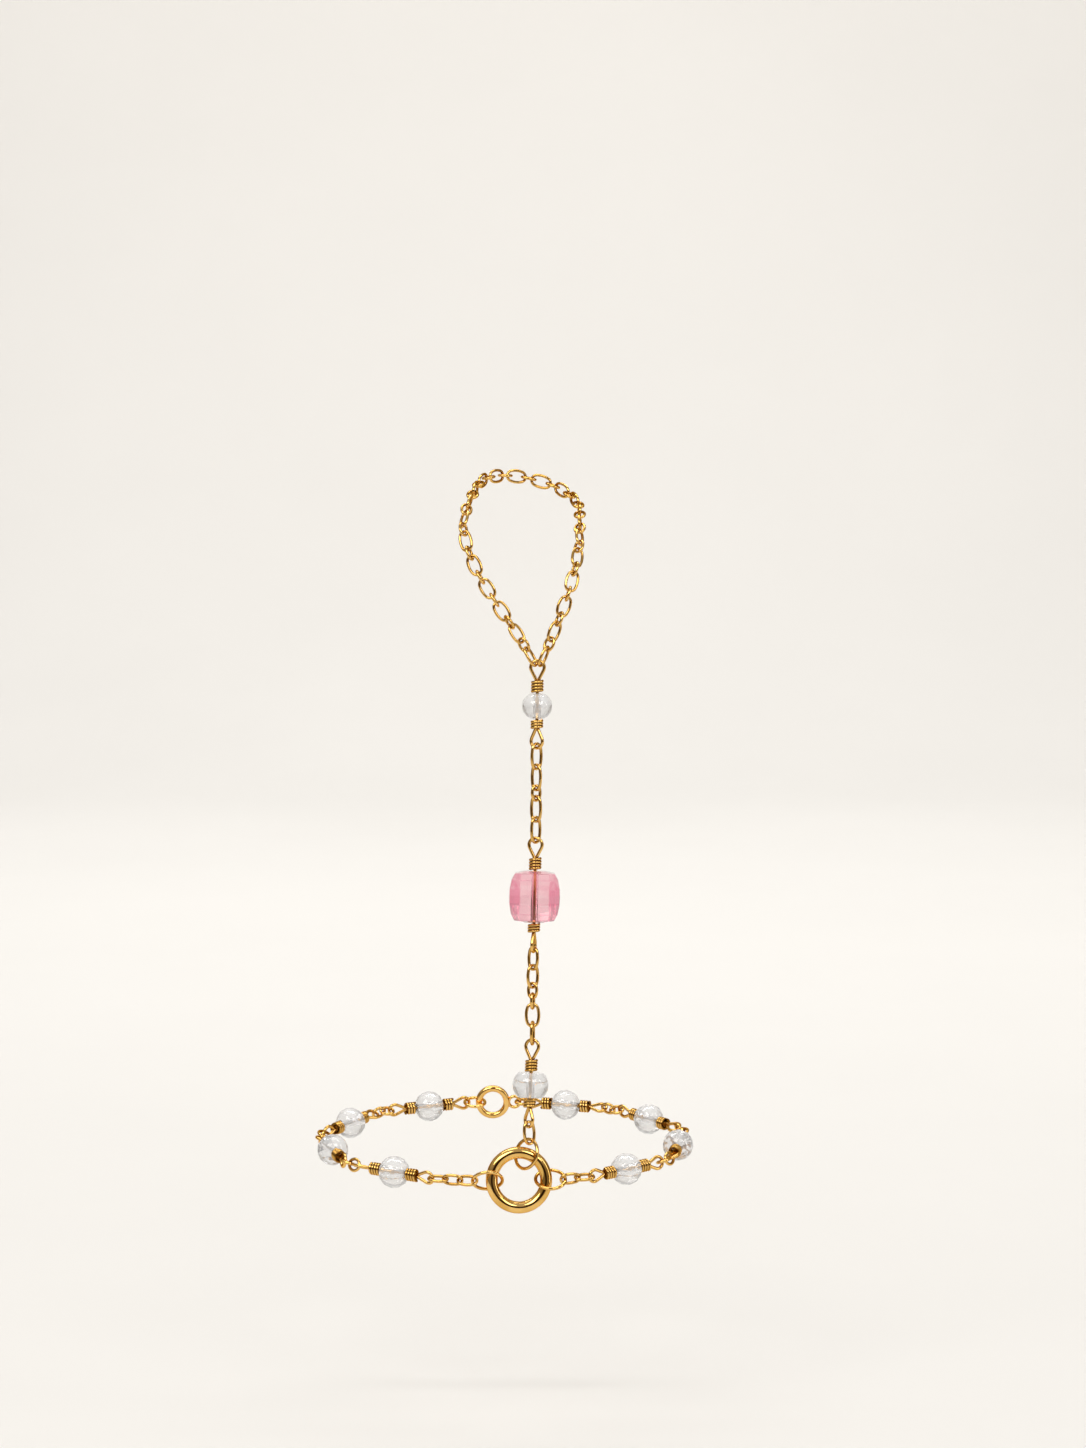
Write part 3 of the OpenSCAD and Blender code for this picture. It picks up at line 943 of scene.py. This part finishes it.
@dataclass(frozen=True)
class PillowBead:
    """A pillow-shaped square bead along X, with cut corners and raised, many-sided faces."""

    across: float
    length: float
    hole: float = 1.2
    # How far the middle of a cut corner stands out
    corner_reach: float = 1.02
    # The width of the broken edges, and the least angle between faces that are broken
    soft: float = 0.09
    broken: float = 12.0
    # A face smaller than this is a broken edge
    edge_area: float = 0.25
    # How much shade is painted on broken edges, on each second facet and where a facet leans along X
    edge_shade: float = 0.7
    second_facet_shade: float = 0.22
    lean_shade: float = 0.35
    # How far a face has turned to a corner, of the whole way, before shade is painted on it
    corner_start: float = 0.45
    sides: int = 16
    # Columns: place, half width, cut of the corners, and how far the middle of each side stands out
    rows: tuple = ((-1, 0.40, 0.22, 0.0), (-0.91, 0.77, 0.30, 0.012), (-0.66, 0.90, 0.34, 0.018),
                   (-0.30, 0.97, 0.42, 0.018), (0, 0.985, 0.50, 0.015), (0.30, 0.97, 0.42, 0.018),
                   (0.66, 0.90, 0.34, 0.018), (0.91, 0.77, 0.30, 0.012), (1, 0.40, 0.22, 0.0))

    def build(self) -> bpy.types.Object:
        """Cuts the faces, drills the channel, breaks the edges and paints shade on the cut.

        Returns:
            The master, in millimetres at the origin.
        """
        rings = []
        for place, half, cut, bulge in self.rows:
            a, b = half * self.across / 2, (half - cut * half) * self.across / 2
            m = a + bulge * self.across / 2
            corner = (a + b) / 2 * self.corner_reach
            quarter = [(a, -b), (m, 0), (a, b), (corner, corner)]
            points = []
            for k in range(4):
                c, s = round(math.cos(k * TAU / 4)), round(math.sin(k * TAU / 4))
                points += [(y * c - z * s, y * s + z * c) for y, z in quarter]
            rings.append((place * self.length / 2, points))
        piece = facet_hull(rings, "pillow_bead_master")
        drill(piece, self.hole, 2 * self.length)
        break_edges(piece, self.soft, self.broken)
        self.paint_facet_shade(piece)
        return piece

    def paint_facet_shade(self, piece: bpy.types.Object) -> None:
        """Paints shade where the cut would look deeper through the glass: cut corners, edges, leaning
        facets and each second facet.

        Args:
            piece: the bead, with its edges broken.
        """
        depth = piece.data.attributes.new(PAINTED_SHADE, "FLOAT", "FACE")
        for value, face in zip(depth.data, piece.data.polygons):
            spot, way = face.center, face.normal
            inside = math.hypot(spot.y, spot.z) < self.hole
            lean = abs(way.x)
            corner = 1 - abs(abs(way.y) - abs(way.z))
            mark = max(0.0, (corner - self.corner_start) / (1 - self.corner_start)) * (1 - lean)
            mark += self.lean_shade * lean
            if face.area < self.edge_area:
                mark = max(mark, self.edge_shade)
            else:
                row = math.floor((spot.x / self.length + 0.5) * (len(self.rows) - 1))
                side = math.floor(math.atan2(spot.z, spot.y) / (TAU / self.sides))
                mark += self.second_facet_shade * ((row + side) % 2)
            value.value = 0.0 if inside else mark


@dataclass(frozen=True)
class SmoothBead:
    """A smooth rondelle along X: a round side between two flat ends, with a hole."""

    across: float
    length: float
    hole: float = 1.0
    # The side arc's radius as a share of the width
    bulge_share: float = 0.46
    # How wide the hole's rounded lip is
    lip: float = 0.12
    # Faces round the bead, and in a full circle of the side arc
    around: int = 72
    along: int = 96
    # Its faces are shaded round where they meet at less than this angle
    smooth: float = 35.0

    def build(self) -> bpy.types.Object:
        """Spins the side round, closes the ends and lines the hole.

        Returns:
            The master, in millimetres at the origin.
        """
        bulge = self.bulge_share * self.across
        offset = self.across / 2 - bulge
        half = self.length / 2
        rim = offset + math.sqrt(bulge * bulge - half * half)
        outlet = self.hole / 2 + self.lip
        Bench.clear()
        bpy.ops.mesh.primitive_circle_add(
            vertices=self.along, radius=bulge, fill_type="NOTHING", location=(0, offset, 0))
        Bench.edit()
        cuts = (((-half, 0, 0), (-1, 0, 0)), ((half, 0, 0), (1, 0, 0)), ((0, offset, 0), (0, -1, 0)))
        for place, outward in cuts:
            bpy.ops.mesh.select_all(action="SELECT")
            bpy.ops.mesh.bisect(plane_co=place, plane_no=outward, clear_outer=True, threshold=WELD)
        bpy.ops.mesh.select_all(action="SELECT")
        bpy.ops.mesh.spin(steps=self.around, angle=TAU, center=(0, 0, 0), axis=X_AXIS)
        bpy.ops.mesh.select_all(action="SELECT")
        bpy.ops.mesh.remove_doubles(threshold=MERGE)
        bpy.ops.mesh.select_all(action="DESELECT")
        bpy.ops.mesh.select_mode(type="EDGE")
        bpy.ops.mesh.select_non_manifold(extend=False)
        for along, across in ((1, outlet / rim), (1 - self.lip / half, self.hole / 2 / outlet)):
            bpy.ops.mesh.extrude_region_move()
            bpy.ops.transform.resize(value=(along, across, across), center_override=(0, 0, 0))
        bpy.ops.mesh.bridge_edge_loops()
        piece = Bench.settle("smooth_bead_master")
        bpy.ops.object.shade_smooth_by_angle(angle=math.radians(self.smooth))
        return piece


# Sub-assemblies


class Workshop:
    """Keeps the masters and materials, and hands finished pieces to the frame."""

    def __init__(self) -> None:
        """Mixes the finishes."""
        self.materials = {
            Slot.GOLD: GoldFinish().material(),
            Slot.CLEAR: CLEAR_GLASS.material(),
            Slot.PINK: PINK_GLASS.material(),
        }
        self.masters: dict[Shape, bpy.types.Object] = {}

    def master(self, shape: Shape) -> bpy.types.Object:
        """The master of a shape, modelled the first time it is asked for.

        Args:
            shape: what is modelled.

        Returns:
            Its master, hidden.
        """
        if shape not in self.masters:
            self.masters[shape] = shape.build()
            self.masters[shape].hide_set(True)
        return self.masters[shape]

    def put(self, shape: Shape, where: Matrix) -> bpy.types.Object:
        """A copy of a shape at its place."""
        return Bench.copy(self.master(shape), where)

    def hand_in(self, pieces: list[bpy.types.Object], node: str, slot: Slot, ending: str) -> None:
        """Finishes what stands for one CAD node.

        Args:
            pieces: the copies that make it up.
            node: the CAD node.
            slot: the record's material slot.
            ending: what the piece's name adds to the node's.
        """
        piece = Bench.join(pieces, f"{node}_{ending}")
        piece.data.materials.clear()
        piece.data.materials.append(self.materials[slot])
        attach(piece, BODY)
        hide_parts(node)
        LOG.info("%s: %d faces", piece.name, len(piece.data.polygons))

    def close(self) -> None:
        """Clears the masters away."""
        for master in self.masters.values():
            bpy.data.objects.remove(master)


@dataclass
class Chains:
    """The oval links of every chain, each drawn at the size that its solid has."""

    shop: Workshop
    nodes: tuple[str, ...] = (
        "drop_chain_lower", "drop_chain_middle", "drop_chain_upper", "finger_chain",
        *(f"wrist_chain_{k}" for k in range(1, 10)))
    # A six-sided wire is this share as thick as it is wide
    flat_share: float = math.sin(TAU / 6)
    # The links are drawn this much shorter, so that they hang closer to each other
    ease: float = 0.06

    def build(self) -> None:
        """Builds every chain."""
        for node in self.nodes:
            links = []
            for solid in Solid.of(node):
                long, wide, thin = solid.axes
                shape = OvalLink(
                    round(solid.size(long) - self.ease, 2), round(solid.size(wide), 2),
                    round(solid.size(thin) / self.flat_share, 2))
                seat = Seat(Vector(solid.centre), Vector(long), Vector(thin))
                links.append(self.shop.put(shape, seat.matrix()))
            self.shop.hand_in(links, node, Slot.GOLD, "links")


@dataclass
class FrontRings:
    """The plain front ring and the three jump rings on it."""

    shop: Workshop
    ring: PlainRing = PlainRing(11.6, 2.1, sides=32, steps=96)
    # The jump rings have shade painted on their insides
    jump: PlainRing = PlainRing(5.8, 0.6, joint=0.05, sides=16, inner_shade=0.4)
    # Where each jump ring's joint shows, as the way from its middle
    joints: dict[str, Vector] = field(default_factory=lambda: {
        "jump_ring_left": Vector((-1, -0.3, -0.6)), "jump_ring_right": Vector((1, 0.2, 0.9)),
        "jump_ring_top": Vector((0.2, 0.3, 1))})

    def build(self) -> None:
        """Builds the four rings."""
        self.place("front_ring", self.ring, X_AXIS)
        for node, towards in self.joints.items():
            self.place(node, self.jump, towards)

    def place(self, node: str, shape: PlainRing, towards: Vector) -> None:
        """Puts one ring on its seat.

        Args:
            node: its CAD node.
            shape: the ring.
            towards: the way that its joint lies.
        """
        solid = Solid.of(node)[0]
        face = Vector(solid.axes[2])
        seat = Seat(Vector(solid.centre), towards - face * towards.dot(face), face)
        self.shop.hand_in([self.shop.put(shape, seat.matrix())], node, Slot.GOLD, "polished")


@dataclass(frozen=True)
class BeadKind:
    """A bead, its wraps and its eyes."""

    shape: BeadShape
    slot: Slot
    finish: str = "cut"
    near_turns: int = 3
    far_turns: int = 4
    eye_length: float = 3.6
    eye_width: float = 2.95
    # Between the bead and the wraps
    gap: float = 0.1
    wire: float = 0.58
    wraps_outer: float = 2.25

    @property
    def start(self) -> float:
        """Where the wraps start, from the bead's middle."""
        return self.shape.length / 2 + self.gap


@dataclass
class Beads:
    """The beads with their wires: three in the drop and eight round the wrist."""

    shop: Workshop
    upper: BeadKind = BeadKind(CutBead(5.4, 4.4, sides=12), Slot.CLEAR)
    pink: BeadKind = BeadKind(PillowBead(9.0, 9.0), Slot.PINK)
    lower: BeadKind = BeadKind(SmoothBead(6.3, 4.3), Slot.CLEAR, "smooth")
    wrist: BeadKind = BeadKind(
        CutBead(5.7, 4.9), Slot.CLEAR, near_turns=4, eye_length=3.3, eye_width=2.7, wraps_outer=2.3)
    wrist_count: int = 8

    def build(self) -> None:
        """Builds every bead and its wire."""
        for name, kind in (("upper", self.upper), ("pink", self.pink), ("lower", self.lower)):
            self.place(f"drop_bead_{name}", f"drop_wire_{name}", kind, Z_AXIS)
        for k in range(1, self.wrist_count + 1):
            self.place(f"wrist_bead_{k}", f"wrist_wire_{k}", self.wrist, None)

    def place(self, bead_node: str, wire_node: str, kind: BeadKind, up: Vector | None) -> None:
        """Puts a bead and its wire on their seats.

        Args:
            bead_node: the bead's CAD node.
            wire_node: the wire's CAD node.
            kind: what they are.
            up: the way that the far end lies, or None where both ends are alike.
        """
        bead, wire = Solid.of(bead_node)[0], Solid.of(wire_node)[0]
        centre = Vector(bead.centre)
        along = Vector(wire.axes[0])
        if up is not None and along.dot(up) < 0:
            along = -along
        outward = VIEWER if up is not None else Vector((centre.x, centre.y, 0)).normalized()
        seat = Seat(centre, along, outward)
        self.shop.hand_in([self.shop.put(kind.shape, seat.matrix())], bead_node, kind.slot, kind.finish)
        parts = [self.shop.put(Shank(2 * (kind.start + kind.wire)), seat.matrix())]
        for turns, way in ((kind.near_turns, -along), (kind.far_turns, along)):
            wraps = Wraps(kind.start, turns, kind.wraps_outer, pitch=kind.wire)
            parts.append(self.shop.put(wraps, Seat(centre, way, outward).matrix()))
            neck = kind.start + turns * kind.wire
            solid = wire.beyond(way, neck + kind.wire, centre)
            side = max(solid.axes, key=lambda axis: solid.size(axis) * (1 - abs(axis @ np.array(way))))
            eye = Eye(neck, kind.eye_length, kind.eye_width, kind.wire)
            parts.append(self.shop.put(eye, Seat(centre, way, way.cross(Vector(side))).matrix()))
        self.shop.hand_in(parts, wire_node, Slot.GOLD, "wrapped")


@dataclass
class ClaspEnd:
    """The plain closing ring with its eye, and the ring that it closes on."""

    shop: Workshop
    ring: PlainRing = PlainRing(6.4, 1.2, sides=20)
    eye: PlainRing = PlainRing(2.7, 0.6, sides=14, steps=32)
    # How far the eye's middle is from the ring's
    eye_place: float = 4.05
    loose: PlainRing = PlainRing(4.4, 0.6, joint=0.05, sides=16)

    def build(self) -> None:
        """Builds the two."""
        solid = Solid.of("clasp")[0]
        along, face = Vector(solid.axes[0]), Vector(solid.axes[2])
        low, high = solid.extent(solid.axes[0])
        if -low > high:
            along, low = -along, -high
        middle = Vector(solid.centre) + along * (low + self.ring.outer / 2) * MM
        seat = Seat(middle, along, face)
        parts = [self.shop.put(self.ring, seat.matrix()),
                 self.shop.put(self.eye, Seat(middle + along * self.eye_place * MM, along, face).matrix())]
        self.shop.hand_in(parts, "clasp", Slot.GOLD, "polished")
        loose = Solid.of("clasp_ring")[0]
        seat = Seat(Vector(loose.centre), Vector(loose.axes[0]), Vector(loose.axes[2]))
        self.shop.hand_in([self.shop.put(self.loose, seat.matrix())], "clasp_ring", Slot.GOLD, "polished")


# Studio


@dataclass(frozen=True)
class Softbox:
    """One soft light: its name, place, target, size, power in watts and colour."""

    name: str
    place: tuple[float, float, float]
    target: tuple[float, float, float]
    size: tuple[float, float]
    power: float
    colour: Colour

    def hang(self) -> None:
        """Hangs the light."""
        Bench.clear()
        turn = (Vector(self.target) - Vector(self.place)).to_track_quat("-Z", "Y").to_euler()
        bpy.ops.object.light_add(type="AREA", location=self.place, rotation=turn)
        light = bpy.context.object
        light.name = self.name
        light.data.shape = "RECTANGLE"
        light.data.size, light.data.size_y = self.size
        light.data.energy = self.power
        light.data.color = self.colour


@dataclass(frozen=True)
class Room:
    """The room round the piece: pale above, and dim round the camera's side, which the gold reflects."""

    strength: float = 0.55
    # Columns: height, from 0 straight down to 1 straight up, and colour
    tones: tuple = ((0.0, (0.80, 0.79, 0.77)), (0.5, (0.40, 0.33, 0.25)), (0.66, (0.46, 0.39, 0.31)),
                    (0.78, (0.88, 0.86, 0.83)), (1.0, (0.95, 0.95, 0.94)))
    # The dim zone: the heights where it starts, is full, is full still and has ended
    dim_heights: tuple[float, float, float, float] = (0.46, 0.48, 0.68, 0.72)
    # How far aside it is full and has ended, how much of the room it hides, and its colour
    dim_full: float = 0.24
    dim_end: float = 0.36
    dim_share: float = 0.97
    dim_colour: Colour = (0.04, 0.018, 0.006)
    # What is seen past the end of the paper, in the far paper's tone
    far_colour: Colour = (0.62, 0.597, 0.562)

    def build(self) -> None:
        """Sets the world up."""
        world = bpy.data.worlds.new("studio_room")
        bpy.context.scene.world = world
        world.use_nodes = True
        n = Nodes(world.node_tree)
        way = n.add("ShaderNodeSeparateXYZ")
        n.link(n.add("ShaderNodeTexCoord").outputs["Generated"], way.inputs["Vector"])
        rise = n.add("ShaderNodeMapRange", From_Min=-1.0, From_Max=1.0, To_Min=0.0, To_Max=1.0)
        n.link(way.outputs["Z"], rise.inputs["Value"])
        height = rise.outputs["Result"]
        room = n.mix(self.dimness(n, way, height), n.blend(height, self.tones), self.dim_colour)
        seen = n.mix(n.add("ShaderNodeLightPath").outputs["Is Camera Ray"], room, self.far_colour)
        shade = n.add("ShaderNodeBackground", Strength=self.strength)
        n.link(seen, shade.inputs["Color"])
        out = n.add("ShaderNodeOutputWorld")
        n.link(shade.outputs["Background"], out.inputs["Surface"])

    def dimness(self, n: Nodes, way: bpy.types.Node, height: bpy.types.NodeSocket) -> bpy.types.NodeSocket:
        """Works out how dim the room is.

        Args:
            n: the world's nodes.
            way: the direction, split in X, Y and Z.
            height: the direction's height, from 0 to 1.

        Returns:
            The share of the dim colour.
        """
        black, white = (0.0, 0.0, 0.0), (1.0, 1.0, 1.0)
        band = n.blend(height, [(0.0, black), *zip(self.dim_heights, (black, white, white, black))])
        middle = n.add(
            "ShaderNodeMapRange", From_Min=self.dim_end, From_Max=self.dim_full,
            To_Min=0.0, To_Max=self.dim_share)
        n.link(n.maths("ABSOLUTE", way.outputs["X"]), middle.inputs["Value"])
        nearer = n.maths("LESS_THAN", way.outputs["Y"])
        return n.maths("MULTIPLY", n.maths("MULTIPLY", middle.outputs["Result"], band), nearer)


@dataclass
class Studio:
    """The pale floor, the soft light and the camera."""

    lens: float = 85.0
    sensor: float = 36.0
    nearest: float = 0.01
    eye: tuple[float, float, float] = (0.00706, -0.61083, 0.12912)
    pitch: float = 5.0
    floor_z: float = -0.047
    # The paper: its size, its middle, where it starts to rise, and its bend's radius, degrees and steps
    paper_size: float = 2.4
    paper_y: float = -0.2
    bend_y: float = 1.0
    bend_radius: float = 0.6
    bend: float = 80.0
    bend_steps: int = 24
    paper_rise: tuple[float, float, float] = (0.0, 0.25, 1.2)
    lights: tuple[Softbox, ...] = (
        Softbox("key_softbox", (-0.24, -0.42, 0.44), (0, 0, 0.04), (0.42, 0.24), 1.65, (1.0, 0.975, 0.94)),
        Softbox("front_softbox", (0.28, -0.46, 0.42), (0, 0, 0.04), (0.32, 0.20), 0.95, (1.0, 0.98, 0.96)),
        Softbox("side_strip", (0.55, -0.16, 0.20), (0, 0, 0.05), (0.08, 0.50), 0.45, (1.0, 0.98, 0.96)),
        Softbox("top_softbox", (0, 0.15, 0.75), (0, 0, 0), (0.5, 0.36), 0.75, (1.0, 0.985, 0.96)),
        Softbox("paper_light", (0, 0.40, 1.10), (0, 1.45, 0.30), (1.4, 0.4), 15.0, (1.0, 0.985, 0.965)),
    )

    def build(self) -> None:
        """Sets up the whole studio."""
        self.camera()
        self.floor()
        Room().build()
        for light in self.lights:
            light.hang()

    def camera(self) -> None:
        """Sets the camera at the photograph's viewing angle."""
        Bench.clear()
        bpy.ops.object.camera_add(location=self.eye, rotation=(math.radians(90 - self.pitch), 0, 0))
        camera = bpy.context.object
        camera.name = "front_camera"
        camera.data.lens = self.lens
        camera.data.sensor_width = self.sensor
        camera.data.sensor_fit = "AUTO"
        camera.data.clip_start = self.nearest
        bpy.context.scene.camera = camera
        bpy.context.scene.view_settings.view_transform = "Standard"

    def floor(self) -> None:
        """Sweeps one sheet of paper from the floor up behind the piece."""
        Bench.clear()
        bpy.ops.mesh.primitive_plane_add(size=self.paper_size, location=(0, self.paper_y, self.floor_z))
        piece = bpy.context.object
        Bench.edit()
        bpy.ops.mesh.select_all(action="DESELECT")
        bpy.ops.object.mode_set(mode="OBJECT")
        for edge in piece.data.edges:
            ends = [piece.matrix_world @ piece.data.vertices[v].co for v in edge.vertices]
            edge.select = all(end.y > self.bend_y / 2 for end in ends)
        bpy.ops.object.mode_set(mode="EDIT")
        bpy.ops.mesh.select_mode(type="EDGE")
        bpy.ops.mesh.spin(
            steps=self.bend_steps, angle=-math.radians(self.bend),
            center=(0, self.bend_y, self.floor_z + self.bend_radius), axis=X_AXIS)
        bpy.ops.mesh.extrude_region_move(TRANSFORM_OT_translate={"value": self.paper_rise})
        piece = Bench.settle("paper_sweep")
        bpy.ops.object.shade_smooth_by_angle(angle=ROUND)
        piece.data.materials.append(FloorFinish().material())


def main() -> None:
    """Builds the studio and every sub-assembly in order."""
    logging.basicConfig(level=logging.INFO, format="%(name)s: %(message)s")
    Studio().build()
    shop = Workshop()
    FrontRings(shop).build()
    Beads(shop).build()
    Chains(shop).build()
    ClaspEnd(shop).build()
    shop.close()


if __name__ == "__main__":
    main()
